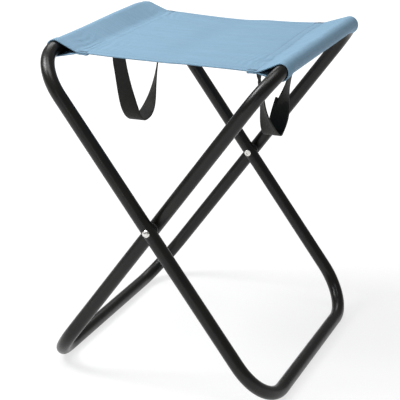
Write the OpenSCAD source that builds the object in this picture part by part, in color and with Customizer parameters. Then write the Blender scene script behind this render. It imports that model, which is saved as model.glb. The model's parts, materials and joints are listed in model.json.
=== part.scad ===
// Folding camp stool: two crossed loops of steel tube riveted together, with a cloth seat between them.
// X runs from the left top tube to the right one, Y from the front to the back, Z up from the floor.
// Units are millimetres.

/* [Frame] */
// Outer diameter of the steel tube
tube_d = 16; // [14:0.5:18]
// Wall thickness of the steel tube
tube_wall = 1; // [0.8:0.1:1.5]
// Distance between the centres of the two legs of one frame
frame_w = 327; // [300:1:360]
// From the pivot up to the centre of the top cross tube
leg_upper = 229; // [215:1:245]
// From the pivot down to the centre of the bottom cross tube
leg_lower = 237; // [225:1:255]
// Lean of each frame from the vertical when the seat is taut, in degrees
lean = 36.2; // [33:0.1:39]
// Centreline radius of the two top bends
bend_r_top = 51; // [40:1:60]
// Centreline radius of the two bottom bends
bend_r_bottom = 58; // [45:1:70]
// Gap left where the two ends of the bent tube meet
joint_gap = 0.4; // [0.2:0.1:1]
// Length of the spigot that joins the two tube ends
spigot_len = 70; // [50:1:100]

/* [Pivot] */
// Diameter of the rivet shank
rivet_d = 5; // [4:0.5:6]
// Diameter of the domed rivet head
rivet_head_d = 8.6; // [8:0.1:10]
// Height of the domed rivet head
rivet_head_h = 2.3; // [1.8:0.1:3]
// Height of the clinched rivet tail
rivet_tail_h = 1.6; // [1.2:0.1:2.5]
// Thickness of the spacer between the two crossing legs
spacer_t = 2; // [1.5:0.1:3]
// Outer diameter of the spacer
spacer_d = 14; // [10:0.5:16]
// Radial clearance of the rivet shank in its holes
rivet_fit = 0.05; // [0.02:0.01:0.1]

/* [Seat] */
// Thickness of one layer of seat cloth
cloth_t = 0.8; // [0.5:0.1:1]
// Clearance between the tube and the cloth sleeve round it
sleeve_fit = 0.4; // [0.3:0.05:0.6]
// How far the taut seat lies below the centres of the top tubes
seat_drop = 3; // [0:0.5:5]
// From the tube's centre inward to the sleeve's seam
seam_in = 28; // [24:0.5:32]
// Front edge of the seat cloth
seat_front = -124.5; // [-128:0.5:-118]
// Back edge of the seat cloth on the left sleeve
seat_back_left = 132; // [120:0.5:136]
// Back edge of the seat cloth on the right sleeve
seat_back_right = 143; // [130:0.5:146]
// Width of the lap that closes each sleeve under the seat
lap_w = 13; // [11:0.5:16]
// Width of the hems along the front and back edges
hem_w = 9; // [7:0.5:12]
// Width and height of a row of stitches
thread_d = 0.5; // [0.4:0.1:0.8]

/* [Handles] */
// Width of the webbing
strap_w = 20; // [18:0.5:25]
// Thickness of the webbing
strap_t = 1.6; // [1.2:0.1:2]
// Distance between the two sewn ends of the left handle
left_handle_span = 134; // [110:1:140]
// Distance between the two sewn ends of the right handle
right_handle_span = 123; // [100:1:130]
// Middle of the left handle's sewn ends along the seat
left_handle_y = 37; // [20:0.5:45]
// Middle of the right handle's sewn ends along the seat
right_handle_y = -43.5; // [-50:0.5:-25]
// How far the left handle hangs below the line that it swings about
left_handle_drop = 106; // [85:1:115]
// How far the right handle hangs below the line that it swings about
right_handle_drop = 81; // [75:1:115]
// How far the bottom of the left handle hangs towards the front of its middle
left_handle_skew = 6; // [0:1:20]
// How far the bottom of the right handle hangs towards the front of its middle
right_handle_skew = 9; // [0:1:20]

/* [Hidden] */
$fn = 48;
tube_r = tube_d / 2;
bore_r = tube_r - tube_wall;
half_w = frame_w / 2;
// Each frame is moved this far along Y, so that its legs pass beside the other frame's legs.
frame_offset = (tube_d + spacer_t) / 2;
pivot_z = tube_r + leg_lower * cos(lean);
top_tube_x = leg_upper * sin(lean);
top_tube_z = pivot_z + leg_upper * cos(lean);
seat_z = top_tube_z - seat_drop;
// The outer face of the outer leg, the face between the legs and the inner face of the inner leg.
outer_face = half_w + frame_offset + tube_r;
inner_face = half_w - frame_offset - tube_r;
face_gap = 0.05;
tail_gap = 0.1;
spigot_fit = 0.02;
sleeve_r = tube_r + sleeve_fit;
sleeve_outer_r = sleeve_r + cloth_t;
// The sleeve's walls run down to the seam at this angle.
seam_dip = atan(seat_drop / seam_in);
// The outer walls of the sleeve meet here if they run on past the seam.
sleeve_tip = seam_in * sleeve_outer_r / sleeve_r;
// The sleeve goes right round the tube for this far past the straight part of its top.
sleeve_reach = 5;
panel_start = seam_in + 1.7;
seam_rows = [panel_start + 2, panel_start + lap_w - 2];
layer_gap = 0.02;
// The stitches are pulled into the cloth, so that they lie just under its top.
groove_depth = 0.3;
thread_z = cloth_t / 2 - groove_depth + layer_gap;
thread_h = groove_depth - 2 * layer_gap;
hem_row = hem_w - 2;
hem_thread_start = panel_start + lap_w + 7;
tack_l = 7;
tack_w = 1.6;
tack_start = panel_start + 3;
tack_inset = 0.4;
seam_inset = 2.4;
tab_start = panel_start + 0.5;
tab_l = lap_w - 1;
handle_in = panel_start + 3;
under_lap = 1.5 * cloth_t + layer_gap;
// The handle turns about a line this far below the middle of the cloth, clear of its sewn ends.
hinge_drop = under_lap + strap_t + 7;
ribbon_steps = 32;
ribbon_start = 0.001;
// The stretch of the right handle that its sewn-down loose end covers, counted round the loop from 0 to 1.
splice = [0.55, 0.76];
splice_steps = 10;
small = 0.01;

// A closed loop of round bar in the XY plane, with x across the frame and y up its legs from the pivot.
module loop(r) {
    for (side = [-1, 1]) {
        translate([side * half_w, -(leg_lower - bend_r_bottom), 0])
            rotate([-90, 0, 0])
                cylinder(r = r, h = leg_lower - bend_r_bottom + leg_upper - bend_r_top);
        translate([side * (half_w - bend_r_top), leg_upper - bend_r_top, 0])
            mirror([side < 0 ? 1 : 0, 0, 0])
                bend(bend_r_top, r);
        translate([side * (half_w - bend_r_bottom), -(leg_lower - bend_r_bottom), 0])
            mirror([side < 0 ? 1 : 0, 0, 0])
                mirror([0, 1, 0])
                    bend(bend_r_bottom, r);
    }
    translate([-(half_w - bend_r_top), leg_upper, 0])
        rotate([0, 90, 0])
            cylinder(r = r, h = 2 * (half_w - bend_r_top));
    translate([-(half_w - bend_r_bottom), -leg_lower, 0])
        rotate([0, 90, 0])
            cylinder(r = r, h = 2 * (half_w - bend_r_bottom));
}

// A quarter turn of round bar.
module bend(bend_r, r) {
    rotate_extrude(angle = 90)
        translate([bend_r, 0])
            circle(r = r);
}

// Stands a loop drawn in the XY plane at the pivot: side is -1 for the left frame and 1 for the right one.
module stand(side) {
    translate([0, side * frame_offset, pivot_z])
        rotate([0, side * lean, 0])
            rotate([90, 0, 90])
                children();
}

// One frame: a tube bent into a loop, drilled for the rivets, its ends meeting in the top cross tube.
module frame_tube(side) {
    stand(side)
        difference() {
            loop(tube_r);
            loop(bore_r);
            translate([-joint_gap / 2, leg_upper - tube_d, -tube_d])
                cube([joint_gap, 2 * tube_d, 2 * tube_d]);
            translate([-frame_w, 0, 0])
                rotate([0, 90, 0])
                    cylinder(r = rivet_d / 2 + rivet_fit, h = 2 * frame_w);
        }
}

module left_frame_tube() {
    color("#26282a") frame_tube(-1);
}

module right_frame_tube() {
    color("#26282a") frame_tube(1);
}

// The short tube pushed into both ends of a bent frame tube, hidden by the sleeve.
module tube_spigot(side) {
    stand(side)
        translate([-spigot_len / 2, leg_upper, 0])
            rotate([0, 90, 0])
                difference() {
                    cylinder(r = bore_r - spigot_fit, h = spigot_len);
                    translate([0, 0, -small])
                        cylinder(r = bore_r - spigot_fit - tube_wall, h = spigot_len + 2 * small);
                }
}

module left_tube_spigot() {
    color("#8e9296") tube_spigot(-1);
}

module right_tube_spigot() {
    color("#8e9296") tube_spigot(1);
}

// The domed head of a rivet along +Y, its foot shaped to the leg of the frame that it turns with.
module rivet_head(side) {
    head_r = rivet_head_d / 2;
    dome_r = (head_r * head_r + rivet_head_h * rivet_head_h) / (2 * rivet_head_h);
    difference() {
        rotate([-90, 0, 0])
            rotate_extrude()
                intersection() {
                    translate([0, dome_r - rivet_head_h])
                        circle(r = dome_r, $fn = 96);
                    translate([0, -rivet_head_h])
                        square([head_r, rivet_head_h + tube_r / 4]);
                }
        translate([0, tube_r, 0])
            rotate([0, side * lean, 0])
                translate([0, 0, -tube_d])
                    cylinder(r = tube_r + face_gap / 2, h = 2 * tube_d);
    }
}

// The clinched tail: a rolled flange with a hollow in its middle.
module rivet_tail() {
    rotate([-90, 0, 0])
        rotate_extrude()
            difference() {
                union() {
                    square([rivet_head_d / 2 - rivet_tail_h / 2, rivet_tail_h]);
                    translate([rivet_head_d / 2 - rivet_tail_h / 2, rivet_tail_h / 2])
                        circle(d = rivet_tail_h);
                }
                translate([0, rivet_tail_h / 3])
                    square([rivet_d / 3, rivet_tail_h]);
            }
}

// A rivet from the front: its head is on the left frame's leg, and its tail turns against the right frame's.
module pivot_rivet() {
    translate([0, -outer_face, pivot_z]) {
        rivet_head(-1);
        rotate([-90, 0, 0])
            cylinder(r = rivet_d / 2, h = outer_face - inner_face + tail_gap + small);
        translate([0, outer_face - inner_face + tail_gap, 0])
            rivet_tail();
    }
}

module front_pivot_rivet() {
    color("#d8d8d4") pivot_rivet();
}

module back_pivot_rivet() {
    color("#d8d8d4") rotate([0, 0, 180]) pivot_rivet();
}

// The washer that keeps the two crossing legs apart.
module pivot_spacer() {
    translate([0, -half_w - spacer_t / 2 + face_gap, pivot_z])
        rotate([-90, 0, 0])
            difference() {
                cylinder(d = spacer_d, h = spacer_t - 2 * face_gap);
                translate([0, 0, -small])
                    cylinder(r = rivet_d / 2 + rivet_fit, h = spacer_t);
            }
}

module front_pivot_spacer() {
    color("#1c1d1e") pivot_spacer();
}

module back_pivot_spacer() {
    color("#1c1d1e") rotate([0, 0, 180]) pivot_spacer();
}

// Where the seat's back edge is at x: it slants between the two sleeves.
function back_at(x) = (seat_back_left + seat_back_right) / 2
    + (seat_back_right - seat_back_left) / 2 * x / top_tube_x;

// Cloth of thickness t from x0 to x1, and from the front edge to the back edge less a margin at each.
module cloth(x0, x1, z, t, inset = 0) {
    translate([0, 0, seat_z + z])
        linear_extrude(t)
            polygon([[x0, seat_front + inset], [x1, seat_front + inset],
                     [x1, back_at(x1) - inset], [x0, back_at(x0) - inset]]);
}

// A strip w wide along the front edge (end -1) or the back edge (end 1), inset from that edge.
module edge_strip(x0, x1, z, t, w, inset, end) {
    front = [[x0, seat_front + inset], [x1, seat_front + inset],
             [x1, seat_front + inset + w], [x0, seat_front + inset + w]];
    back = [[x0, back_at(x0) - inset - w], [x1, back_at(x1) - inset - w],
            [x1, back_at(x1) - inset], [x0, back_at(x0) - inset]];
    translate([0, 0, seat_z + z])
        linear_extrude(t)
            polygon(end < 0 ? front : back);
}

// x at a distance inward from the top tube's centre: side is -1 on the left and 1 on the right.
function inward(side, distance) = side * (top_tube_x - distance);

// One half of the seat, from the sleeve's seam to the fold in the middle, with grooves for its stitches.
module seat_panel(side) {
    x = [inward(side, panel_start), 0];
    difference() {
        cloth(min(x), max(x), -cloth_t / 2, cloth_t);
        seam_thread(side, layer_gap);
        hem_thread(side, layer_gap);
        corner_tacks(side, layer_gap);
    }
}

module left_seat_panel() {
    color("#9ab9d3") seat_panel(-1);
}

module right_seat_panel() {
    color("#9ab9d3") seat_panel(1);
}

// A round of radius r at the tube and two flat walls that run from it to a point at distance tip.
// The walls start just inside the round, so that they cross its outline at a small angle.
module teardrop(r, tip) {
    start_angle = acos(r / tip) + 6;
    start_r = 0.995 * r;
    circle(r = r);
    polygon([[0, 0], start_r * [cos(start_angle), sin(start_angle)],
             [tip, 0], start_r * [cos(start_angle), -sin(start_angle)]]);
}

// A cloth sleeve round a top tube, straight from the front edge to the back, with its lap under the seat.
// Where the tube bends down, past the straight part of its top, only the sleeve's upper half goes on.
module sleeve(side, back) {
    round_from = max(seat_front, side * frame_offset - half_w + bend_r_top - sleeve_reach);
    round_to = min(back, side * frame_offset + half_w - bend_r_top + sleeve_reach);
    sleeve_stretch(side, round_from, round_to)
        sleeve_section();
    if (round_from > seat_front)
        sleeve_stretch(side, seat_front, round_from)
            upper_half() sleeve_section();
    sleeve_stretch(side, round_to, back)
        upper_half() sleeve_section();
    x = [inward(side, panel_start), inward(side, panel_start + lap_w)];
    edge = hem_w + 1;
    translate([0, 0, seat_z - under_lap])
        linear_extrude(cloth_t)
            polygon([[min(x), seat_front + edge], [max(x), seat_front + edge],
                     [max(x), back_at(max(x)) - edge], [min(x), back_at(min(x)) - edge]]);
}

module sleeve_section() {
    difference() {
        teardrop(sleeve_outer_r, sleeve_tip);
        teardrop(sleeve_r, seam_in);
        translate([panel_start, -tube_d])
            square(2 * tube_d);
    }
}

module upper_half() {
    intersection() {
        children();
        translate([-2 * tube_d, 0])
            square([4 * tube_d, 2 * tube_d]);
    }
}

// Extrudes a section from y0 to y1 along a top tube, turned down towards the seam.
module sleeve_stretch(side, y0, y1) {
    translate([side * top_tube_x, y0, top_tube_z])
        mirror([side > 0 ? 1 : 0, 0, 0])
            rotate([90, 0, 0])
                mirror([0, 0, 1])
                    linear_extrude(y1 - y0)
                        rotate(-seam_dip)
                            children();
}

module left_sleeve() {
    color("#8fb0cb") sleeve(-1, seat_back_left);
}

module right_sleeve() {
    color("#8fb0cb") sleeve(1, seat_back_right);
}

// The folded edge of the seat cloth under one half of the seat.
module hem(side, end) {
    x = [inward(side, panel_start + small), 0];
    edge_strip(min(x), max(x), -under_lap, cloth_t, hem_w, 0, end);
}

module left_front_hem() {
    color("#8fb0cb") hem(-1, -1);
}

module left_back_hem() {
    color("#8fb0cb") hem(-1, 1);
}

module right_front_hem() {
    color("#8fb0cb") hem(1, -1);
}

module right_back_hem() {
    color("#8fb0cb") hem(1, 1);
}

// The two rows of stitches that close a sleeve. With a margin they are the grooves that they lie in.
module seam_thread(side, margin = 0) {
    for (row = seam_rows) {
        x = inward(side, row);
        cloth(x - thread_d / 2 - margin, x + thread_d / 2 + margin, thread_z - margin,
              thread_h + 4 * margin, seam_inset - margin);
    }
}

module left_seam_thread() {
    color("#7ea3c2") seam_thread(-1);
}

module right_seam_thread() {
    color("#7ea3c2") seam_thread(1);
}

// The rows of stitches along the front and back hems of one half of the seat, or their grooves.
module hem_thread(side, margin = 0) {
    x = [inward(side, hem_thread_start - margin), -side * margin];
    for (end = [-1, 1])
        edge_strip(min(x), max(x), thread_z - margin, thread_h + 4 * margin, thread_d + 2 * margin,
                   hem_row - margin, end);
}

module left_hem_thread() {
    color("#7ea3c2") hem_thread(-1);
}

module right_hem_thread() {
    color("#7ea3c2") hem_thread(1);
}

// The bar tacks that lock the ends of the sleeve's seams, or their grooves.
module corner_tacks(side, margin = 0) {
    x = [inward(side, tack_start - margin), inward(side, tack_start + tack_l + margin)];
    for (end = [-1, 1])
        edge_strip(min(x), max(x), thread_z - margin, thread_h + 4 * margin, tack_w + 2 * margin,
                   tack_inset - margin, end);
}

module left_corner_tacks() {
    color("#7ea3c2") corner_tacks(-1);
}

module right_corner_tacks() {
    color("#7ea3c2") corner_tacks(1);
}

// A handle's drop, its span, how far its bottom hangs towards the front, and how steep its front
// and back limbs hang: 2 is a parabola, and a larger number is closer to a U.
left_loop = [left_handle_drop, left_handle_span, left_handle_skew, 1.9, 2.8];
right_loop = [right_handle_drop, right_handle_span, right_handle_skew, 1.8, 1.4];

// A handle's centreline, from its front end at t = 0 round to its back end at t = 1, in the YZ plane.
function handle_point(t, size) =
    let (u = 2 * t - 1, low = 1 - pow(abs(u), u < 0 ? size[3] : size[4]))
    [0, size[1] / 2 * u - size[2] * low, -size[0] * low];

// The webbing lies along the seam at its sewn ends and turns across it at the bottom of the loop.
function handle_turn(t) = 90 * pow(sin(180 * t), 3);
function unit(v) = v / norm(v);

// The four corners of the webbing's section at t. The left and right handles turn in opposite ways.
function handle_ring(t, size, twist, w, thick, away) =
    let (tangent = unit(handle_point(min(1, t + small), size) - handle_point(max(0, t - small), size)),
         level = cross(tangent, [1, 0, 0]),
         turn = handle_turn(t),
         across = unit(-cos(turn) * level + twist * sin(turn) * [1, 0, 0]),
         out = cross(tangent, across),
         middle = handle_point(t, size) + away * out)
    [for (c = [[-1, -1], [1, -1], [1, 1], [-1, 1]])
        middle + c[0] * w / 2 * across + c[1] * thick / 2 * out];

// A flat band swept along a stretch of a handle's centreline.
module ribbon(size, twist, from, to, steps, w, thick, away = 0) {
    rings = [for (i = [0:steps]) handle_ring(from + (to - from) * i / steps, size, twist, w, thick, away)];
    points = [for (ring = rings) for (p = ring) p];
    last = 4 * steps;
    lower = [for (i = [0:steps - 1]) for (k = [0:3])
        [4 * i + k, 4 * i + (k + 1) % 4, 4 * i + 4 + (k + 1) % 4]];
    upper = [for (i = [0:steps - 1]) for (k = [0:3])
        [4 * i + k, 4 * i + 4 + (k + 1) % 4, 4 * i + 4 + k]];
    ends = [[2, 1, 0], [3, 2, 0], [last, last + 1, last + 2], [last, last + 2, last + 3]];
    polyhedron(points, concat(lower, upper, ends));
}

function handle_y(side) = side < 0 ? left_handle_y : right_handle_y;
function sewn_y(side, end) = handle_y(side) + end * (side < 0 ? left_handle_span : right_handle_span) / 2;

module at_handle(side) {
    translate([inward(side, handle_in), handle_y(side), seat_z - hinge_drop])
        children();
}

module left_handle_loop() {
    color("#232322")
        at_handle(-1)
            ribbon(left_loop, 1, ribbon_start, 1 - ribbon_start, ribbon_steps, strap_w, strap_t);
}

module right_handle_loop() {
    color("#232322")
        at_handle(1)
            ribbon(right_loop, -1, ribbon_start, 1 - ribbon_start, ribbon_steps, strap_w, strap_t);
}

// The loose end of the webbing, laid over the back limb of the right handle and sewn to it.
module right_handle_splice() {
    color("#1f1f1e")
        at_handle(1)
            ribbon(right_loop, -1, splice[0], splice[1], splice_steps, strap_w - 1, strap_t / 2, strap_t);
}

// The two flat ends of a handle's webbing, sewn under the lap.
module handle_tabs(side) {
    x = [inward(side, tab_start), inward(side, tab_start + tab_l)];
    for (end = [-1, 1])
        translate([min(x), sewn_y(side, end) - strap_w / 2, seat_z - under_lap - layer_gap - strap_t])
            cube([tab_l, strap_w, strap_t]);
}

module left_handle_tabs() {
    color("#232322") handle_tabs(-1);
}

module right_handle_tabs() {
    color("#232322") handle_tabs(1);
}

// The bars of thread that hold a handle's flat ends, seen from below.
module handle_tacks(side) {
    bar_margin = 2;
    for (end = [-1, 1])
        for (row = [tab_start + tab_l / 2, tab_start + tab_l - bar_margin])
            translate([inward(side, row) - tack_w / 2, sewn_y(side, end) - strap_w / 2 + bar_margin,
                       seat_z - under_lap - strap_t - 2 * layer_gap - thread_d / 2])
                cube([tack_w, strap_w - 2 * bar_margin, thread_d / 2]);
}

module left_handle_tacks() {
    color("#3a3a38") handle_tacks(-1);
}

module right_handle_tacks() {
    color("#3a3a38") handle_tacks(1);
}

left_frame_tube();
right_frame_tube();
left_tube_spigot();
right_tube_spigot();
front_pivot_rivet();
back_pivot_rivet();
front_pivot_spacer();
back_pivot_spacer();
left_seat_panel();
right_seat_panel();
left_sleeve();
right_sleeve();
left_front_hem();
left_back_hem();
right_front_hem();
right_back_hem();
left_seam_thread();
right_seam_thread();
left_hem_thread();
right_hem_thread();
left_corner_tacks();
right_corner_tacks();
left_handle_loop();
right_handle_loop();
left_handle_tabs();
right_handle_tabs();
left_handle_tacks();
right_handle_tacks();
right_handle_splice();
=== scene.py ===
"""Looks of the folding camp stool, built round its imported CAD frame. Lengths are in metres."""

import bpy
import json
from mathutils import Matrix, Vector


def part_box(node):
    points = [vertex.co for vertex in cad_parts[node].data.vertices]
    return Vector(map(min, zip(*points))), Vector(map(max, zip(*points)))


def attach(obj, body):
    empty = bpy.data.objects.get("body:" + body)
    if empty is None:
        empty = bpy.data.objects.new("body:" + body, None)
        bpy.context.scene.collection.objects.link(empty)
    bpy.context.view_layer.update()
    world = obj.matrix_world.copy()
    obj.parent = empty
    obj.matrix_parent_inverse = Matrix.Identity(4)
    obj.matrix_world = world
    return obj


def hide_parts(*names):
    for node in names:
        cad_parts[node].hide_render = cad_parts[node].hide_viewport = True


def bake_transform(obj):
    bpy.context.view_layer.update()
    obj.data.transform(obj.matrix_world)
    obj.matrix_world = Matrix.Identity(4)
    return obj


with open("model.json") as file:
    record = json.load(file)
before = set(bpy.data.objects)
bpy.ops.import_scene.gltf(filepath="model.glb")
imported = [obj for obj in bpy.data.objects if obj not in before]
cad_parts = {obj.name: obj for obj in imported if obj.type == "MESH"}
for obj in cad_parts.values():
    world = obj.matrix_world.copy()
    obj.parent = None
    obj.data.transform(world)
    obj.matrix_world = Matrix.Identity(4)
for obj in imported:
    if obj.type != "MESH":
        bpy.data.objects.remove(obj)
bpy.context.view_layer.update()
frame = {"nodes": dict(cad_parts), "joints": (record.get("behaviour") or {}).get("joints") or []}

import json
import math

import bmesh
import bpy
import numpy as np
from mathutils import Matrix, Vector, noise
from mathutils.bvhtree import BVHTree

MM = 0.001


# --------------------------------------------------------------------------------------------------
# Camera, stage and light
# --------------------------------------------------------------------------------------------------

def direction(azimuth, elevation):
    """The unit vector from the object towards a viewer at these angles, in degrees."""
    a, e = math.radians(azimuth), math.radians(elevation)
    return Vector((math.sin(a) * math.cos(e), -math.cos(a) * math.cos(e), math.sin(e)))


def make_camera():
    """A long lens from the right of the front, a little above the seat."""
    back = direction(21.91, 19.163)
    data = bpy.data.cameras.new("camera")
    data.sensor_width = 36
    data.lens = 121.3
    camera = bpy.data.objects.new("camera", data)
    bpy.context.scene.collection.objects.link(camera)
    camera.location = Vector((0.0218, -0.0754, 0.2082)) + back * 1.559
    roll = Matrix.Rotation(math.radians(0.11), 3, "Z")
    camera.rotation_euler = ((-back).to_track_quat("-Z", "Y").to_matrix() @ roll).to_euler()
    bpy.context.scene.camera = camera


def make_floor():
    mesh = bpy.data.meshes.new("floor")
    half = 6.0
    corners = [(-half, -half, 0), (half, -half, 0), (half, half, 0), (-half, half, 0)]
    mesh.from_pydata(corners, [], [(0, 1, 2, 3)])
    floor = bpy.data.objects.new("floor", mesh)
    bpy.context.scene.collection.objects.link(floor)
    s = Surface("pale_floor", Roughness=0.9, Base_Color=(0.22, 0.22, 0.22, 1), Emission_Color=(1, 1, 1, 1))
    distance = s.add("ShaderNodeVectorMath", {0: s.coordinate()}, operation="LENGTH").outputs["Value"]
    s.join(s.ramp(distance, 0.74, 0.98, 0.4, 1.6), "Emission Strength")
    s.join(s.bump(s.noise(40, 2), 0.0002, 0.1), "Normal")
    mesh.materials.append(s.material)


def area_light(name, azimuth, elevation, distance, size, power, target=(0, 0, 0.25)):
    data = bpy.data.lights.new(name, "AREA")
    data.shape = "RECTANGLE"
    data.size, data.size_y = size
    data.energy = power
    light = bpy.data.objects.new(name, data)
    bpy.context.scene.collection.objects.link(light)
    towards = direction(azimuth, elevation)
    light.location = Vector(target) + towards * distance
    light.rotation_euler = (-towards).to_track_quat("-Z", "Y").to_euler()


def make_lights():
    """White surroundings, a broad key from the upper left of the front, and weaker lights round it."""
    area_light("key", -68, 50, 2.0, (0.8, 0.8), 40)
    area_light("top", -20, 80, 2.2, (1.2, 1.2), 24)
    area_light("front", 8, 12, 2.6, (0.3, 1.4), 3)
    area_light("rim", -150, 42, 2.2, (1.2, 0.8), 10)
    world = bpy.data.worlds.new("studio")
    world.use_nodes = True
    background = world.node_tree.nodes["Background"]
    background.inputs["Color"].default_value = (1, 1, 1, 1)
    background.inputs["Strength"].default_value = 0.26
    bpy.context.scene.world = world
    bpy.context.scene.view_settings.view_transform = "Standard"


# --------------------------------------------------------------------------------------------------
# Materials
# --------------------------------------------------------------------------------------------------

class Surface:
    """A node material under construction: its shader, and short calls that add and join nodes."""

    def __init__(self, name, **sockets):
        self.material = bpy.data.materials.new(name)
        self.material.use_nodes = True
        self.tree = self.material.node_tree
        self.shader = self.tree.nodes["Principled BSDF"]
        for socket, value in sockets.items():
            self.shader.inputs[socket.replace("_", " ")].default_value = value

    def add(self, kind, inputs=None, **settings):
        """A node of this kind. inputs maps a socket's name or number to a value or to a node's output."""
        node = self.tree.nodes.new(kind)
        for key, value in settings.items():
            setattr(node, key, value)
        for key, value in (inputs or {}).items():
            if isinstance(value, bpy.types.NodeSocket):
                self.tree.links.new(value, node.inputs[key])
            else:
                node.inputs[key].default_value = value
        return node

    def join(self, output, socket):
        self.tree.links.new(output, self.shader.inputs[socket])

    def coordinate(self, kind="Object"):
        return self.add("ShaderNodeTexCoord").outputs[kind]

    def noise(self, scale, detail=3.0, roughness=0.5, vector=None):
        inputs = {"Scale": scale, "Detail": detail, "Roughness": roughness}
        inputs["Vector"] = vector or self.coordinate()
        return self.add("ShaderNodeTexNoise", inputs).outputs["Fac"]

    def ramp(self, factor, low, high, start=0.0, end=1.0):
        """Maps a factor to a colour between low and high, or to a number if they are numbers."""
        node = self.add("ShaderNodeMapRange", {"Value": factor, "From Min": start, "From Max": end})
        if not isinstance(low, tuple):
            node.inputs["To Min"].default_value = low
            node.inputs["To Max"].default_value = high
            return node.outputs["Result"]
        return self.mix(node.outputs["Result"], low, high)

    def mix(self, factor, a, b):
        node = self.add("ShaderNodeMix", data_type="RGBA")
        for socket, value in ((0, factor), (6, a), (7, b)):
            if isinstance(value, bpy.types.NodeSocket):
                self.tree.links.new(value, node.inputs[socket])
            else:
                node.inputs[socket].default_value = value if socket == 0 else (*value, 1)
        return node.outputs[2]

    def math(self, operation, a, b=0.0):
        return self.add("ShaderNodeMath", {0: a, 1: b}, operation=operation).outputs[0]

    def bands(self, pitch, axis, vector):
        """A sine wave from 0 to 1 that repeats every pitch along the vector's X or Y."""
        inputs = {"Vector": vector, "Scale": math.pi / 10 / pitch, "Distortion": 0.0, "Detail": 0.0}
        node = self.add("ShaderNodeTexWave", inputs, wave_type="BANDS", bands_direction=axis)
        return node.outputs["Fac"]

    def bump(self, height, distance, strength=1.0, below=None):
        inputs = {"Height": height, "Distance": distance, "Strength": strength}
        if below is not None:
            inputs["Normal"] = below
        return self.add("ShaderNodeBump", inputs).outputs["Normal"]


def powder_coat():
    """Satin black powder coat: fine orange peel, faint dusty patches and rubbed stretches."""
    s = Surface("satin_black", Specular_IOR_Level=0.34)
    patches = s.noise(28, 4)
    s.join(s.ramp(patches, (0.0035, 0.0033, 0.0029), (0.0080, 0.0074, 0.0064), 0.35, 0.7), "Base Color")
    s.join(s.ramp(s.noise(60, 3), 0.26, 0.36, 0.3, 0.7), "Roughness")
    peel = s.bump(s.noise(1400, 2), 0.00006, 0.5)
    s.join(s.bump(s.noise(260, 2), 0.0002, 0.25, peel), "Normal")
    return s.material


def plated_steel():
    """Bright nickel plate with fine scratches."""
    s = Surface("bright_nickel", Metallic=1.0)
    s.join(s.ramp(s.noise(700, 3), (0.62, 0.61, 0.58), (0.86, 0.85, 0.82), 0.3, 0.7), "Base Color")
    s.join(s.ramp(s.noise(900, 3), 0.16, 0.36, 0.3, 0.7), "Roughness")
    s.join(s.bump(s.noise(1800, 2), 0.00004, 0.4), "Normal")
    return s.material


def drawn_steel():
    """Bare drawn tube, with lines along its length."""
    s = Surface("drawn_steel", Metallic=1.0)
    stretched = s.add("ShaderNodeMapping", {"Vector": s.coordinate(), "Scale": (1, 0.04, 1)}).outputs[0]
    s.join(s.ramp(s.noise(900, 3, vector=stretched), (0.40, 0.40, 0.40), (0.58, 0.58, 0.57)), "Base Color")
    s.join(s.ramp(s.noise(500, 3, vector=stretched), 0.32, 0.5), "Roughness")
    return s.material


def black_nylon():
    s = Surface("black_nylon")
    s.join(s.ramp(s.noise(500, 3), (0.018, 0.018, 0.019), (0.035, 0.035, 0.036)), "Base Color")
    s.join(s.ramp(s.noise(300, 2), 0.5, 0.66), "Roughness")
    s.join(s.bump(s.noise(2200, 2), 0.00005, 0.4), "Normal")
    return s.material


def seat_cloth():
    """Coated polyester in a fine plain weave, light blue; its inside is painted a darker blue as painted
    shade.
    """
    s = Surface("blue_polyester", Roughness=0.72, Sheen_Weight=0.03, Specular_IOR_Level=0.2)
    uv = s.coordinate("UV")
    thread = 0.00062
    warp, weft = s.bands(2 * thread, "X", uv), s.bands(2 * thread, "Y", uv)
    over = s.math("ABSOLUTE", s.math("SUBTRACT", warp, weft))
    slubs = s.noise(90, 5, 0.65, s.add("ShaderNodeMapping", {"Vector": uv, "Scale": (0.25, 4, 1)}).outputs[0])
    tone = s.ramp(slubs, CLOTH_DARK, CLOTH_LIGHT, 0.3, 0.7)
    tone = s.mix(s.ramp(over, 0.0, 0.22), tone, CLOTH_SHADE)
    inside = s.add("ShaderNodeAttribute", attribute_name="inside").outputs["Fac"]
    # painted shade: the inside of the cloth is mixed to a darker blue
    s.join(s.mix(inside, tone, CLOTH_INSIDE_PAINTED_SHADE), "Base Color")
    weave = s.bump(over, 0.00010, 0.35)
    s.join(s.bump(s.noise(60, 4, 0.6, uv), 0.0006, 0.35, weave), "Normal")
    return s.material


def sewing_thread(name, dark, light):
    """Twisted polyester thread."""
    s = Surface(name, Roughness=0.6, Sheen_Weight=0.2)
    s.join(s.ramp(s.noise(1500, 2), dark, light, 0.3, 0.7), "Base Color")
    s.join(s.bump(s.noise(2500, 1), 0.0001, 0.5), "Normal")
    return s.material


def webbing():
    """Black polypropylene webbing: ribs along its length, crossed by fine picks."""
    s = Surface("black_webbing", Roughness=0.6, Specular_IOR_Level=0.2)
    uv = s.coordinate("UV")
    ribs, picks = s.bands(0.0016, "X", uv), s.bands(0.0011, "Y", uv)
    ground = s.ramp(s.noise(160, 4, 0.6, uv), (0.005, 0.005, 0.0042), (0.011, 0.0105, 0.009), 0.3, 0.7)
    s.join(s.mix(s.ramp(ribs, 0.0, 0.5), ground, (0.017, 0.016, 0.014)), "Base Color")
    s.join(s.bump(picks, 0.00012, 0.4, s.bump(ribs, 0.0003, 0.6)), "Normal")
    return s.material


CLOTH_LIGHT = (0.186, 0.306, 0.411)
CLOTH_DARK = (0.153, 0.267, 0.370)
CLOTH_SHADE = (0.118, 0.216, 0.312)
# painted shade: the darker blue of the cloth's inside stands in for the shade inside the sleeves and under
# the seat
CLOTH_INSIDE_PAINTED_SHADE = (0.070, 0.140, 0.195)


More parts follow.
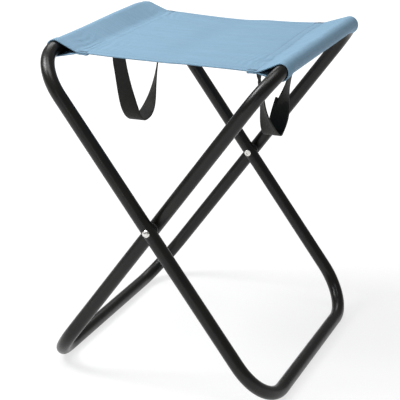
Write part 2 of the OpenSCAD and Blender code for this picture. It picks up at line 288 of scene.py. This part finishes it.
# --------------------------------------------------------------------------------------------------
# Mesh helpers
# --------------------------------------------------------------------------------------------------

def smoothstep(value, start=0.0, end=1.0):
    t = min(1.0, max(0.0, (value - start) / (end - start)))
    return t * t * (3 - 2 * t)


def new_piece(name, mesh, material):
    mesh.materials.append(material)
    piece = bpy.data.objects.new(name, mesh)
    bpy.context.scene.collection.objects.link(piece)
    mesh.polygons.foreach_set("use_smooth", [True] * len(mesh.polygons))
    mesh.set_sharp_from_angle(angle=math.radians(55))
    return piece


def closed_shell(grid, normals, thickness, uvs):
    """Mesh data of a sheet of this thickness round a grid of middle points: outer side, inner side and rim.

    grid and normals are arrays of rows of points. The outer side is along the normals."""
    rows, columns = grid.shape[:2]
    outer = (grid + normals * thickness / 2).reshape(-1, 3)
    inner = (grid - normals * thickness / 2).reshape(-1, 3)
    count = rows * columns

    def at(i, j):
        return i * columns + j

    faces = []
    for i in range(rows - 1):
        for j in range(columns - 1):
            quad = (at(i, j), at(i + 1, j), at(i + 1, j + 1), at(i, j + 1))
            faces.append(quad)
            faces.append(tuple(count + k for k in reversed(quad)))
    rim = [at(0, j) for j in range(columns)] + [at(i, columns - 1) for i in range(1, rows)]
    rim += [at(rows - 1, j) for j in range(columns - 2, -1, -1)] + [at(i, 0) for i in range(rows - 2, 0, -1)]
    for a, b in zip(rim, rim[1:] + rim[:1]):
        faces.append((a, b, count + b, count + a))
    mesh = bpy.data.meshes.new("shell")
    mesh.from_pydata(np.concatenate([outer, inner]).tolist(), [], faces)
    layer = mesh.uv_layers.new(name="cloth")
    flat = np.tile(uvs.reshape(-1, 2), (2, 1))
    loops = np.zeros(len(mesh.loops), np.int32)
    mesh.loops.foreach_get("vertex_index", loops)
    layer.data.foreach_set("uv", flat[loops].ravel())
    return mesh


def set_inside_painted_shade(mesh, values):
    """Marks how far each vertex is on the inside of the cloth, from 0 to 1, where the cloth is painted darker
    as painted shade.
    """
    attribute = mesh.attributes.new("inside", "FLOAT", "POINT")
    attribute.data.foreach_set("value", np.asarray(values, np.float32))


def fix_normals(mesh):
    work = bmesh.new()
    work.from_mesh(mesh)
    bmesh.ops.recalc_face_normals(work, faces=work.faces)
    work.to_mesh(mesh)
    work.free()


# --------------------------------------------------------------------------------------------------
# The seat cloth
# --------------------------------------------------------------------------------------------------

JOINTS = {joint["name"]: joint for joint in frame["joints"]}
TUBE = Vector(JOINTS["right_seat_turn"]["pos_m"])   # a point on the right top tube's centre line
TUBE_R = 8 * MM
FRAME_SHIFT = 9 * MM                # each loop's middle is this far in front of or behind the stool's middle
STRAIGHT_HALF = 112.5 * MM          # half of a top tube's straight part
BEND_R = 51 * MM                    # the loops' bends, at the tube's centre
LEG_LEAN = math.radians(36.2)
LEG_DOWN = (math.sin(LEG_LEAN), -math.cos(LEG_LEAN))    # the way down a leg: inward, height
CLOTH_T = 0.8 * MM
HEM = 9 * MM                        # the folded width of a hem
HEM_ROW = 7 * MM                    # from an edge to its hem's stitches
HEM_GAP = 0.9 * MM                  # between the middles of a hem's two layers
LAP = 13 * MM                       # how far the sleeve's end runs under the seat past its seam
SEAM_IN = 27.5 * MM                 # from the top tube's centre in to the sleeve's seam
SEAM_ROWS = (3.5 * MM, 11.5 * MM)   # the seam's rows of stitches, from the sleeve inward
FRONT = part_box("left_front_hem")[0].y
BACK_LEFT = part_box("left_sleeve")[1].y
BACK_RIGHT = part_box("right_sleeve")[1].y
BACK_MIDDLE = (BACK_LEFT + BACK_RIGHT) / 2


def back_of(side):
    """Where the back edge of this side's sleeve is."""
    return BACK_LEFT if side < 0 else BACK_RIGHT


def across(x):
    """x as a share of the way from the middle fold (0) to a seam (-1 left, 1 right)."""
    return x / (TUBE.x - SEAM_IN)


def seam_in(side, y):
    """How far inward of the top tube the sleeve's seam is at y. The right one is sewn a little askew."""
    if side < 0:
        return SEAM_IN
    return SEAM_IN + 6.5 * MM * smoothstep((y - FRONT) / (BACK_RIGHT - FRONT), 0.1, 1.0)


def front_edge(x):
    return FRONT + 1.2 * MM * (1 - min(1.0, across(x) ** 2))


def back_edge(x):
    slant = (BACK_RIGHT - BACK_LEFT) / 2 * x / TUBE.x
    return BACK_MIDDLE + slant - 3.0 * MM * (1 - min(1.0, across(x) ** 2))


def slack(x, y):
    """Height of the cloth's middle surface above the top tubes' centres, before its wrinkles."""
    s = max(-1.1, min(1.1, across(x)))
    front = -4.2 - 1.1 * s + 1.2 * s ** 4
    back = -6.3 - 0.5 * s + 3.7 * s * s
    t = (y - FRONT) / (BACK_MIDDLE - FRONT)
    middle = -3.6 - 0.3 * s + 0.8 * s * s - 1.0 * (1 - smoothstep(abs(x), 0, 34 * MM))
    edge = abs(2 * t - 1) ** 2.5
    return MM * ((front if t < 0.5 else back) * edge + middle * (1 - edge))


def fan(x, y, corner_x, corner_y, angle, reach, pitch):
    """Short puckers that run away from a sewn corner, at an angle in degrees from +X, and fade out."""
    a = math.radians(angle)
    dx, dy = x - corner_x, y - corner_y
    along, side = dx * math.cos(a) + dy * math.sin(a), -dx * math.sin(a) + dy * math.cos(a)
    if along < 0:
        return 0.0
    fade = smoothstep(along, 0, 0.25 * reach) * (1 - smoothstep(along, 0.45 * reach, reach))
    width = 0.35 * reach + 0.3 * along
    drift = 4.5 * noise.noise(Vector((x / 0.020, y / 0.030, corner_y / 0.1)))
    phase = 2 * math.pi * side / pitch + 5 * along / reach + drift
    return fade * math.exp(-(side / width) ** 2 * 2) * math.sin(phase)


def wrinkles(x, y):
    """Height of the wrinkles: long soft ones across the seat, and puckers that fan out from its corners."""
    long_ones = noise.noise(Vector((x / 0.120, y / 0.019, 0.3))) * 1.00
    long_ones += noise.noise(Vector((x / 0.060, y / 0.008, 4.7))) * 0.34
    soft = noise.noise(Vector((x / 0.050, y / 0.045, 9.1))) * 0.60
    seam = TUBE.x - SEAM_IN
    puckers = 0.30 * fan(x, y, -seam + 12 * MM, FRONT + 2 * MM, 97, 0.085, 0.0078)
    puckers += 0.28 * fan(x, y, seam - 13 * MM, FRONT + 2 * MM, 84, 0.095, 0.0078)
    puckers += 0.20 * fan(x, y, -seam, BACK_LEFT - 4 * MM, -62, 0.055, 0.010)
    puckers += 0.30 * fan(x, y, seam - 6 * MM, BACK_RIGHT - 6 * MM, -112, 0.045, 0.009)
    near_edge = min(y - front_edge(x), back_edge(x) - y)
    side = 1 if x > 0 else -1
    inward = TUBE.x - seam_in(side, y) - abs(x)
    stitched = 0.25 * math.exp(-((near_edge - HEM_ROW) / (1.6 * MM)) ** 2) * (inward > 0)
    for row in SEAM_ROWS:
        stitched += 0.28 * math.exp(-((inward - row) / (1.3 * MM)) ** 2)
    by_seam = math.exp(-((inward - 8 * MM) / (6 * MM)) ** 2)
    drawn = 0.30 * noise.noise(Vector((y / 0.006, 2.2, side))) * by_seam
    level = long_ones + soft
    level += (1 - smoothstep(abs(x), 0, 30 * MM)) * (-0.35 - 0.6 * level)
    return MM * (level + puckers - stitched + drawn)


def tangent_angle(centre, radius, point, side):
    """The angle at which a line from point touches a circle, on its upper (1) or lower (-1) side."""
    to_point = math.atan2(point[1] - centre[1], point[0] - centre[0])
    distance = math.hypot(point[0] - centre[0], point[1] - centre[1])
    return to_point + side * math.acos(radius / distance)


def bend_drop(y, side):
    """How far down its leg the top tube's centre lies at y: nothing along its straight part."""
    beyond = abs(y - side * FRAME_SHIFT) - STRAIGHT_HALF
    return BEND_R - math.sqrt(BEND_R ** 2 - beyond ** 2) if beyond > 0 else 0.0


PANEL_COLUMNS, WALL_COLUMNS, ROUND_COLUMNS, LAP_COLUMNS = 84, 12, 30, 7
UNDER_START = PANEL_COLUMNS + WALL_COLUMNS + ROUND_COLUMNS


def sleeve_profile(side, y, inset):
    """The cloth's section at y, from fold line to lap, as (distance inward from the tube, height) pairs.

    inset is 1 at the hems, where the cloth is doubled and stands further off the tube, and 0 between them."""
    drop = bend_drop(y, side)
    follow = 0.35 if side < 0 and y > 0 else 0.9
    crown = 1.6 * MM * smoothstep(y, -70 * MM, 60 * MM) * (1 - smoothstep(y, 95 * MM, 132 * MM)) * (side < 0)
    upper = (LEG_DOWN[0] * drop * follow, LEG_DOWN[1] * drop * follow + crown)
    lower = (LEG_DOWN[0] * drop, LEG_DOWN[1] * drop)
    radius = TUBE_R + 0.9 * MM + 0.9 * MM * inset
    lap_drop = 1.0 * MM + 1.6 * MM * inset
    half, inward = TUBE.x, seam_in(side, y)
    seam = (inward, slack(side * (half - inward), y))
    under = (inward, seam[1] - lap_drop)
    points = []
    for k in range(PANEL_COLUMNS):
        d = half + (inward - half) * k / PANEL_COLUMNS
        points.append((d, slack(side * (half - d), y)))
    high = tangent_angle(upper, radius, seam, 1)
    low = tangent_angle(lower, radius, under, -1) + 2 * math.pi
    touch = (upper[0] + radius * math.cos(high), upper[1] + radius * math.sin(high))
    for k in range(WALL_COLUMNS):
        t = k / WALL_COLUMNS
        points.append((seam[0] + (touch[0] - seam[0]) * t, seam[1] + (touch[1] - seam[1]) * t))
    for k in range(ROUND_COLUMNS + 1):
        angle = high + (low - high) * k / ROUND_COLUMNS
        t = smoothstep(math.degrees(angle), 110, 215)
        centre = (upper[0] + (lower[0] - upper[0]) * t, upper[1] + (lower[1] - upper[1]) * t)
        points.append((centre[0] + radius * math.cos(angle), centre[1] + radius * math.sin(angle)))
    touch = points[-1]
    for k in range(1, WALL_COLUMNS + 1):
        t = k / WALL_COLUMNS
        points.append((touch[0] + (under[0] - touch[0]) * t, touch[1] + (under[1] - touch[1]) * t))
    for k in range(1, LAP_COLUMNS + 1):
        d = inward + LAP * k / LAP_COLUMNS
        points.append((d, slack(side * (half - d), y) - lap_drop))
    return soften(np.array(points), PANEL_COLUMNS)


def soften(points, crease):
    """Rounds the fold where the panel meets the sleeve."""
    first, last = crease - 3, crease + 4
    for _ in range(2):
        neighbours = points[first - 1:last - 1] + points[first + 1:last + 1]
        points[first:last] = (neighbours + 2 * points[first:last]) / 4
    return points


def edge_stations():
    """How the cloth runs: from the hem under its front edge, round that edge, over the seat and under again.

    Each is (share of the way from front to back, shift along Y, layer from 0 on top to 1 below)."""
    under_steps, turn_steps, spans = 5, 6, 128
    hem = [(HEM * (1 - k / under_steps), 1.0) for k in range(under_steps)]
    for k in range(turn_steps + 1):
        angle = math.pi * k / turn_steps
        hem.append((HEM_GAP / 2 * (1 - math.sin(angle)), (1 + math.cos(angle)) / 2))
    stations = [(0.0, distance, layer) for distance, layer in hem]
    stations += [(k / spans, 0.0, 0.0) for k in range(1, spans)]
    stations += [(1.0, -distance, layer) for distance, layer in reversed(hem)]
    return stations


def half_seat(side, name, material):
    """One half of the cloth: its panel from the fold line to the seam, its sleeve, lap and hems."""
    rows, uvs = [], []
    seam_x, back = TUBE.x - SEAM_IN, back_of(side)
    for share, shift, layer in edge_stations():
        row, length = [], 0.0
        y_at_sleeve = FRONT + share * (back - FRONT) + shift
        near = min(y_at_sleeve - FRONT, back - y_at_sleeve)
        inset = 1 - smoothstep(near, HEM, HEM + 7 * MM)
        profile = sleeve_profile(side, y_at_sleeve, inset)
        ahead = np.gradient(profile, axis=0)
        normal = np.stack([ahead[:, 1], -ahead[:, 0]], axis=1)
        normal /= np.linalg.norm(normal, axis=1)[:, None]
        for k, ((d, z), (nd, nz)) in enumerate(zip(profile, normal)):
            x = side * (TUBE.x - d)
            own = 1 - smoothstep(k, PANEL_COLUMNS - 24, PANEL_COLUMNS - 6)
            bound = max(-seam_x, min(seam_x, x)) if k < PANEL_COLUMNS + WALL_COLUMNS else side * seam_x
            y = front_edge(bound) + share * (back_edge(bound) - front_edge(bound)) + shift
            z += own * (slack(x, y) - z)
            wrinkle = wrinkles(x, y)
            lift = wrinkle * (1 - smoothstep(k, PANEL_COLUMNS + 6, PANEL_COLUMNS + WALL_COLUMNS + 8))
            z += wrinkle * smoothstep(k, UNDER_START, UNDER_START + WALL_COLUMNS)
            off = lift - layer * HEM_GAP
            nd = nd if k else 0.0
            if k:
                length += float(np.linalg.norm(profile[k] - profile[k - 1]))
            row.append((x - side * nd * off, y, TUBE.z + z + nz * off))
            uvs.append((side * length, y if layer == 0 else y + 2 * layer * HEM_GAP))
        rows.append(row)
    grid = np.array(rows)
    normals = grid_normals(grid, side)
    normals[:, 0, 0] = 0.0
    mesh = closed_shell(grid, normals, CLOTH_T, np.array(uvs).reshape(*grid.shape[:2], 2))
    count = grid.shape[0] * grid.shape[1]
    # the inner side gets the painted shade
    set_inside_painted_shade(mesh, np.concatenate([np.zeros(count), np.ones(count)]))
    fix_normals(mesh)
    return new_piece(name, mesh, material)


def grid_normals(grid, side):
    """Unit normals of a grid of points, on the side that is the cloth's outside."""
    along, over = np.gradient(grid, axis=1), np.gradient(grid, axis=0)
    normals = np.cross(along, over) * side
    normals /= np.maximum(np.linalg.norm(normals, axis=2), 1e-12)[:, :, None]
    return normals * np.sign(normals[grid.shape[0] // 2, 5, 2])


def top_of(mesh):
    """A function that gives the height of a mesh's top at (x, y), or None beyond its edge."""
    tree = BVHTree.FromPolygons([v.co for v in mesh.vertices], [tuple(p.vertices) for p in mesh.polygons])

    def height(x, y):
        hit = tree.ray_cast(Vector((x, y, 1.0)), Vector((0, 0, -1)))[0]
        return hit.z if hit else None

    return height


# --------------------------------------------------------------------------------------------------
# Stitches
# --------------------------------------------------------------------------------------------------

def stitch_mesh(stitches, radius, flat=0.6):
    """Little rounded lengths of thread. Each stitch is (start point, end point, normal)."""
    around, along = 6, 5
    points, faces = [], []
    for start, end, up in stitches:
        start, end, up = Vector(start), Vector(end), Vector(up)
        ahead = end - start
        side = ahead.cross(up).normalized()
        base = len(points)
        for i in range(along + 1):
            t = i / along
            thick = radius * max(0.12, math.sin(math.pi * t) ** 0.45)
            middle = start + ahead * t
            for k in range(around):
                a = 2 * math.pi * k / around
                points.append(middle + side * math.cos(a) * thick + up * math.sin(a) * thick * flat)
        for i in range(along):
            for k in range(around):
                m = (k + 1) % around
                faces.append((base + i * around + k, base + i * around + m,
                              base + (i + 1) * around + m, base + (i + 1) * around + k))
        faces.append(tuple(base + k for k in reversed(range(around))))
        faces.append(tuple(base + along * around + k for k in range(around)))
    mesh = bpy.data.meshes.new("stitches")
    mesh.from_pydata([tuple(p) for p in points], [], faces)
    fix_normals(mesh)
    return mesh


def on_cloth(height, a, b, lift=0.04 * MM):
    """One stitch between two (x, y) places on the cloth, or none where it would hang over an edge."""
    high_a, high_b = height(a.x, a.y), height(b.x, b.y)
    if high_a is None or high_b is None:
        return []
    return [((a.x, a.y, high_a + lift), (b.x, b.y, high_b + lift), (0, 0, 1))]


def row_on_seat(height, start, end, pitch=3.0 * MM, share=0.78):
    """Stitches on top of the cloth from start to end, each an (x, y) pair."""
    start, end = Vector(start), Vector(end)
    count = max(1, round((end - start).length / pitch))
    stitches = []
    for k in range(count):
        a = start.lerp(end, (k + (1 - share) / 2) / count)
        b = start.lerp(end, (k + (1 + share) / 2) / count)
        stitches += on_cloth(height, a, b)
    return stitches


def zigzag_on_seat(height, start, end, width, count):
    """A bar tack: close zigzag stitches from start to end, width across."""
    start, end = Vector(start), Vector(end)
    across_way = Vector((-(end - start).y, (end - start).x)).normalized() * width / 2
    corners = [start.lerp(end, k / count) + across_way * (-1) ** k for k in range(count + 1)]
    return [stitch for a, b in zip(corners, corners[1:]) for stitch in on_cloth(height, a, b, 0.12 * MM)]


def seat_stitching(side, word, thread, tack_thread, height):
    """The seam's two rows, the hems' rows and the bar tacks of one half of the seat."""
    seam, hem, tacks = [], [], []
    seam_steps, hem_steps, end_gap = 8, 6, 4.5 * MM
    for row in SEAM_ROWS:
        for k in range(seam_steps):
            ends = []
            for share in (k / seam_steps, (k + 1) / seam_steps):
                y = FRONT + end_gap + share * (back_of(side) - FRONT - 2 * end_gap)
                ends.append((side * (TUBE.x - seam_in(side, y) - row), y))
            seam += row_on_seat(height, *ends)
    outer = TUBE.x - SEAM_IN - 14 * MM
    for edge, way in ((front_edge, 1), (back_edge, -1)):
        for k in range(hem_steps):
            x0, x1 = (side * outer * (k + j) / hem_steps for j in (0, 1))
            hem += row_on_seat(height, (x0, edge(x0) + way * HEM_ROW), (x1, edge(x1) + way * HEM_ROW))
        start = TUBE.x - seam_in(side, edge(side * TUBE.x))
        x0, x1 = side * (start - 1.5 * MM), side * (start - 12.5 * MM)
        for inset in (1.6 * MM, 4.2 * MM):
            ends = (x0, edge(x0) + way * inset), (x1, edge(x1) + way * inset)
            tacks += zigzag_on_seat(height, *ends, 2.2 * MM, 14)
    body = word + "_seat"
    for name, stitches, radius, node, finish in (
            ("_seam_stitches", seam, 0.34 * MM, "_seam_thread", thread),
            ("_hem_stitches", hem, 0.26 * MM, "_hem_thread", thread),
            ("_corner_bar_tacks", tacks, 0.32 * MM, "_corner_tacks", tack_thread)):
        piece = new_piece(word + name, stitch_mesh(stitches, radius), finish)
        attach(piece, body)
        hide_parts(word + node)


# --------------------------------------------------------------------------------------------------
# The webbing handles
# --------------------------------------------------------------------------------------------------

def catmull(values, t):
    """A smooth curve through the rows of values, at t from 0 to 1."""
    values = np.asarray(values, float)
    place = t * (len(values) - 1)
    i = min(int(place), len(values) - 2)
    u = place - i
    p0, p1 = values[max(0, i - 1)], values[i]
    p2, p3 = values[i + 1], values[min(len(values) - 1, i + 2)]
    return 0.5 * (2 * p1 + (p2 - p0) * u + (2 * p0 - 5 * p1 + 4 * p2 - p3) * u * u
                  + (3 * p1 - p0 - 3 * p2 + p3) * u ** 3)


def ribbon(name, centres, turns, width, thickness, material, steps=150):
    """Webbing along a smooth curve. turns are the angles of its width from +Y towards +X, in degrees."""
    centres = np.array([catmull(centres, k / steps) for k in range(steps + 1)])
    turns = np.radians([float(catmull(turns, k / steps)) for k in range(steps + 1)])
    tangents = np.gradient(centres, axis=0)
    tangents /= np.linalg.norm(tangents, axis=1)[:, None]
    lengths = np.concatenate([[0], np.cumsum(np.linalg.norm(np.diff(centres, axis=0), axis=1))])
    half, edge = width / 2, thickness / 2
    section = [(-half + edge + (width - thickness) * k / 8, edge) for k in range(9)]
    section += [(half - edge + edge * math.sin(a), edge * math.cos(a)) for a in (math.pi / 4, math.pi / 2)]
    section += [(half - edge + edge * math.sin(math.pi * 0.75), edge * math.cos(math.pi * 0.75))]
    section += [(-x, -z) for x, z in section]
    points, faces, uvs = [], [], []
    around = len(section)
    for centre, tangent, turn, length in zip(centres, tangents, turns, lengths):
        wide = np.array([math.sin(turn), math.cos(turn), 0.0])
        wide -= tangent * wide.dot(tangent)
        wide /= np.linalg.norm(wide)
        thick = np.cross(tangent, wide)
        for x, z in section:
            points.append(centre + wide * x + thick * z)
            uvs.append((x, length))
    for i in range(steps):
        for k in range(around):
            m = (k + 1) % around
            faces.append((i * around + k, i * around + m, (i + 1) * around + m, (i + 1) * around + k))
    faces.append(tuple(reversed(range(around))))
    faces.append(tuple(steps * around + k for k in range(around)))
    mesh = bpy.data.meshes.new(name)
    mesh.from_pydata([tuple(p) for p in points], [], faces)
    layer = mesh.uv_layers.new(name="webbing")
    for loop in mesh.loops:
        layer.data[loop.index].uv = uvs[loop.vertex_index]
    fix_normals(mesh)
    return new_piece(name, mesh, material)


class Handle:
    """One handle's hang. The front limb comes first in each pair, the back limb second."""

    def __init__(self, word, middle, span, forward, drop, steepness, turned, twist):
        self.word, self.side = word, -1 if word == "left" else 1
        self.middle, self.span, self.forward, self.drop = middle * MM, span * MM, forward * MM, drop * MM
        self.steepness, self.turned, self.twist = steepness, turned, twist
        self.hinge = Vector(JOINTS[word + "_handle_swing"]["pos_m"])

    def place(self, u):
        """The webbing's centre and the turn of its width at u, from -1 at the front to 1 at the back."""
        limb = 1 if u > 0 else 0
        low = 1 - abs(u) ** self.steepness[limb]
        y = self.middle + self.span / 2 * u - self.forward * low
        turned = self.turned[limb] * smoothstep(abs(u), *self.twist[limb]) * (1 if u > 0 else -1)
        return (self.hinge.x, y, self.hinge.z - self.drop * low), -self.side * (90 + turned)


LEFT_HANDLE = Handle("left", 37, 134, 6, 106.5, (1.9, 2.8), (70, 68), ((0.0, 0.9), (0.15, 0.85)))
RIGHT_HANDLE = Handle("right", -43.5, 123, 9, 81, (1.8, 1.4), (58, 96), ((0.12, 0.8), (0.0, 0.75)))


STRAP_W, STRAP_T = 20 * MM, 1.5 * MM


def tab_height(handle):
    """The middle of the webbing's flat ends, just clear of the wrinkled lap above them."""
    low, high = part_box(handle.word + "_handle_tabs")
    return (low.z + high.z) / 2 - 0.9 * MM


def handle_route(handle):
    """Centres and turns of a handle's webbing: flat under the lap, round down, and a loop turned below."""
    x, side, top = handle.hinge.x, handle.side, tab_height(handle)
    ends = []
    for end in (-1, 1):
        y = handle.middle + end * handle.span / 2
        ends.append([(x - side * 8 * MM, y, top), (x - side * 3 * MM, y, top),
                     (x + side * 0.4 * MM, y, top - 1.2 * MM),
                     (x + side * 0.8 * MM, y - end * 0.2 * MM, top - 5 * MM)])
    loop = [handle.place(k / 12) for k in range(-11, 12)]
    centres = ends[0] + [place for place, _ in loop] + ends[1][::-1]
    turns = [0] * 4 + [turn for _, turn in loop] + [-side * 180] * 4
    return centres, turns


def strap_end(handle, material):
    """The loose end of the webbing, lapped over the handle's back limb a little askew."""
    centres, turns = [], []
    for k in range(9):
        share = k / 8
        (x, y, z), turn = handle.place(0.10 + 0.41 * share)
        facing = math.radians(turn - 90)
        centres.append((x + 1.9 * MM * math.sin(facing) - 3.5 * MM * share,
                        y + 1.9 * MM * math.cos(facing) - 2.0 * MM * share, z))
        turns.append(turn + 11 * share)
    piece = ribbon("right_handle_strap_end", centres, turns, STRAP_W + 0.5 * MM, STRAP_T, material, 60)
    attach(piece, "right_handle")
    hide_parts("right_handle_splice")


def make_handle(handle, material, thread):
    word = handle.word
    centres, turns = handle_route(handle)
    piece = ribbon(word + "_handle_webbing", centres, turns, STRAP_W, STRAP_T, material)
    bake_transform(piece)
    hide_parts(word + "_handle_loop", word + "_handle_tabs")
    low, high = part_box(word + "_handle_tacks")
    under = tab_height(handle) - 0.8 * MM
    stitches = []
    for end in (-1, 1):
        y = handle.middle + end * handle.span / 2
        for x in (low.x + 1 * MM, high.x - 1 * MM):
            for k in range(12):
                y0 = y - 8 * MM + 16 * MM * k / 12
                stitches.append(((x - 1 * MM, y0, under), (x + 1 * MM, y0 + 0.8 * MM, under), (0, 0, -1)))
    tack = new_piece(word + "_handle_bar_tacks", stitch_mesh(stitches, 0.3 * MM), thread)
    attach(tack, word + "_seat")
    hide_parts(word + "_handle_tacks")


# --------------------------------------------------------------------------------------------------
# Assembly
# --------------------------------------------------------------------------------------------------

def paint(node, material):
    mesh = frame["nodes"][node].data
    mesh.materials.clear()
    mesh.materials.append(material)


make_camera()
make_floor()
make_lights()

black, nickel, steel, nylon = powder_coat(), plated_steel(), drawn_steel(), black_nylon()
for word in ("left", "right"):
    paint(word + "_frame_tube", black)
    paint(word + "_tube_spigot", steel)
for word in ("front", "back"):
    paint(word + "_pivot_rivet", nickel)
    paint(word + "_pivot_spacer", nylon)

cloth = seat_cloth()
blue_thread = sewing_thread("blue_thread", (0.062, 0.130, 0.210), (0.115, 0.205, 0.305))
tack_thread = sewing_thread("dark_blue_thread", (0.028, 0.062, 0.105), (0.062, 0.120, 0.185))
for side, word in ((-1, "left"), (1, "right")):
    half = half_seat(side, word + "_seat_cloth", cloth)
    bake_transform(half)
    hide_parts(word + "_seat_panel", word + "_sleeve", word + "_front_hem", word + "_back_hem")
    seat_stitching(side, word, blue_thread, tack_thread, top_of(half.data))

strap = webbing()
black_thread = sewing_thread("black_thread", (0.012, 0.012, 0.012), (0.035, 0.035, 0.034))
make_handle(LEFT_HANDLE, strap, black_thread)
make_handle(RIGHT_HANDLE, strap, black_thread)
strap_end(RIGHT_HANDLE, strap)
